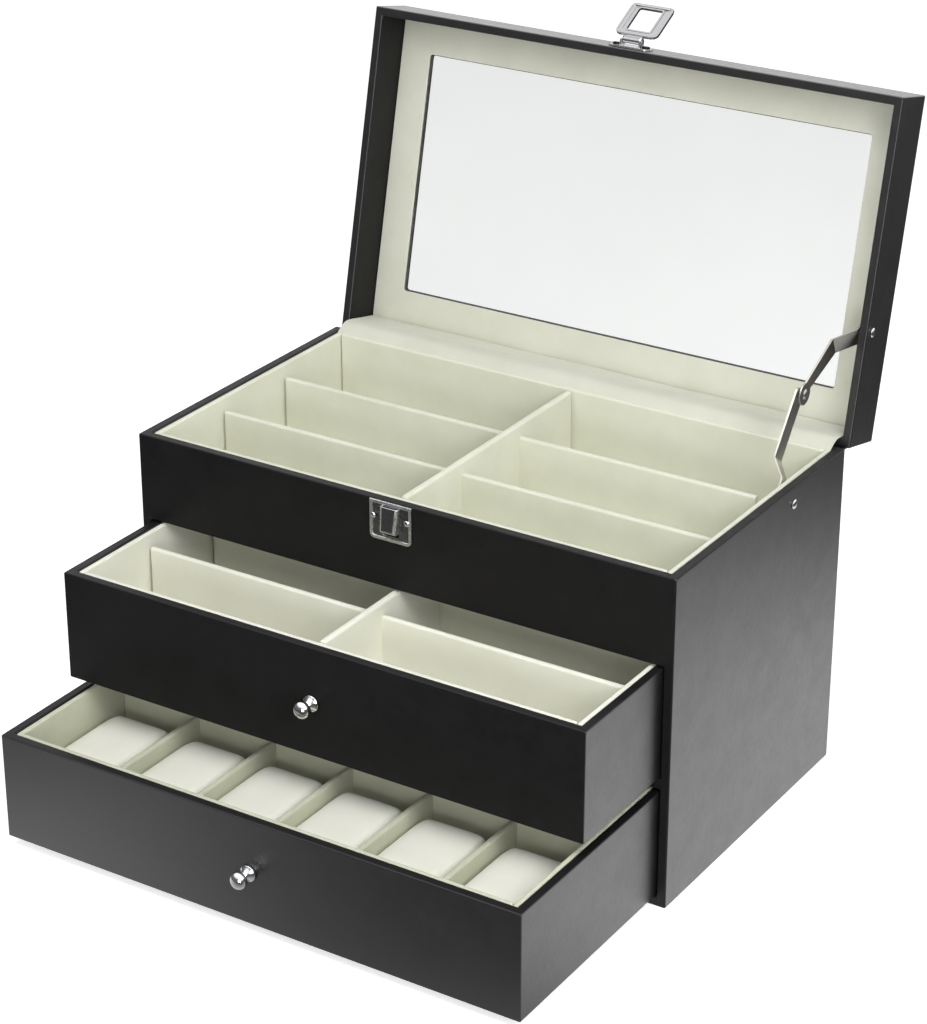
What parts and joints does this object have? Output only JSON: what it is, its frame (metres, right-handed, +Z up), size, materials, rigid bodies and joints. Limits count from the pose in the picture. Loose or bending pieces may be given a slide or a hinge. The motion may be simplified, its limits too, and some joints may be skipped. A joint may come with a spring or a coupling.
{
  "type": "watch and glasses box",
  "caption": "Black leather box with a glazed flap lid on a folding stay and a hasp, a lined tray, a drawer for glasses and a drawer of watch pillows.",
  "frame": {"origin": "centre of the underside of the cabinet", "axes": "+Z up, -Y towards the side that the drawers open to, +X towards the folding stay"},
  "size_m": [0.3365, 0.4167, 0.3925],
  "materials": {
    "black_leather": "smooth coated leather, satin, wrapped over board",
    "lining": "pale cream short-pile velvet",
    "pillow": "pale cream short-pile velvet, padded",
    "chrome": "polished",
    "stay_steel": "dull plated strip",
    "window_glass": "clear"
  },
  "bodies": {
    "cabinet": {"cabinet_left_side": "black_leather", "cabinet_right_side": "black_leather", "cabinet_back": "black_leather", "cabinet_bottom": "black_leather", "cabinet_fascia": "black_leather", "drawer_shelf": "black_leather", "tray_floor": "black_leather", "tray_lining": "lining", "tray_centre_divider": "lining", "tray_cross_divider_front": "lining", "tray_cross_divider_back": "lining", "catch_plate": "chrome", "catch_pin_left": "chrome", "catch_pin_right": "chrome", "stay_body_rivet": "stay_steel", "leather_hinge_body_flap": "black_leather"},
    "lid": {"lid_frame": "black_leather", "lid_top_board": "black_leather", "lid_glass": "window_glass", "lid_lining_panel": "lining", "hinge_lining_strip": "lining", "leather_hinge_lid_flap": "black_leather", "stay_lid_rivet": "stay_steel", "hasp_base": "chrome", "hasp_pin": "chrome"},
    "hasp": {"hasp_loop": "chrome"},
    "stay_lower": {"stay_lower_link": "stay_steel"},
    "stay_upper": {"stay_upper_link": "stay_steel", "stay_mid_rivet": "stay_steel"},
    "middle_drawer": {"middle_drawer_front": "black_leather", "middle_drawer_left_side": "black_leather", "middle_drawer_right_side": "black_leather", "middle_drawer_back": "black_leather", "middle_drawer_bottom": "black_leather", "middle_drawer_lining": "lining", "middle_drawer_knob": "chrome", "middle_drawer_centre_divider": "lining", "middle_drawer_cross_divider_front": "lining", "middle_drawer_cross_divider_back": "lining"},
    "bottom_drawer": {"bottom_drawer_front": "black_leather", "bottom_drawer_left_side": "black_leather", "bottom_drawer_right_side": "black_leather", "bottom_drawer_back": "black_leather", "bottom_drawer_bottom": "black_leather", "bottom_drawer_lining": "lining", "bottom_drawer_knob": "chrome", "watch_divider_grid": "lining", "watch_pillow_front_1": "pillow", "watch_pillow_front_2": "pillow", "watch_pillow_front_3": "pillow", "watch_pillow_front_4": "pillow", "watch_pillow_front_5": "pillow", "watch_pillow_front_6": "pillow", "watch_pillow_back_1": "pillow", "watch_pillow_back_2": "pillow", "watch_pillow_back_3": "pillow", "watch_pillow_back_4": "pillow", "watch_pillow_back_5": "pillow", "watch_pillow_back_6": "pillow"}
  },
  "joints": [
    {"name": "lid_hinge", "type": "hinge", "parent": "cabinet", "child": "lid", "pos_m": [0, 0.09675, 0.1882], "axis": [1, 0, 0], "range_deg": [0, 102.5]},
    {"name": "hasp_hinge", "type": "hinge", "parent": "lid", "child": "hasp", "pos_m": [-0.001, 0.14944, 0.3783], "axis": [1, 0, 0], "range_deg": [-46, 139]},
    {"name": "stay_lower_pivot", "type": "hinge", "parent": "cabinet", "child": "stay_lower", "pos_m": [0.1577, 0.034, 0.1815], "axis": [1, 0, 0], "range_deg": [0, 113.25]},
    {"name": "stay_upper_pivot", "type": "hinge", "parent": "lid", "child": "stay_upper", "pos_m": [0.1616, 0.12039, 0.24954], "axis": [1, 0, 0], "range_deg": [-123.1, 0]},
    {"name": "middle_drawer_slide", "type": "slide", "parent": "cabinet", "child": "middle_drawer", "axis": [0, 1, 0], "range_m": [-0.074, 0.076]},
    {"name": "bottom_drawer_slide", "type": "slide", "parent": "cabinet", "child": "bottom_drawer", "axis": [0, 1, 0], "range_m": [-0.016, 0.134]}
  ],
  "couplings": [
    {"joint": "stay_lower_pivot", "follows": "lid_hinge", "ratio": 1.1046},
    {"joint": "stay_upper_pivot", "follows": "lid_hinge", "ratio": -1.2007}
  ]
}
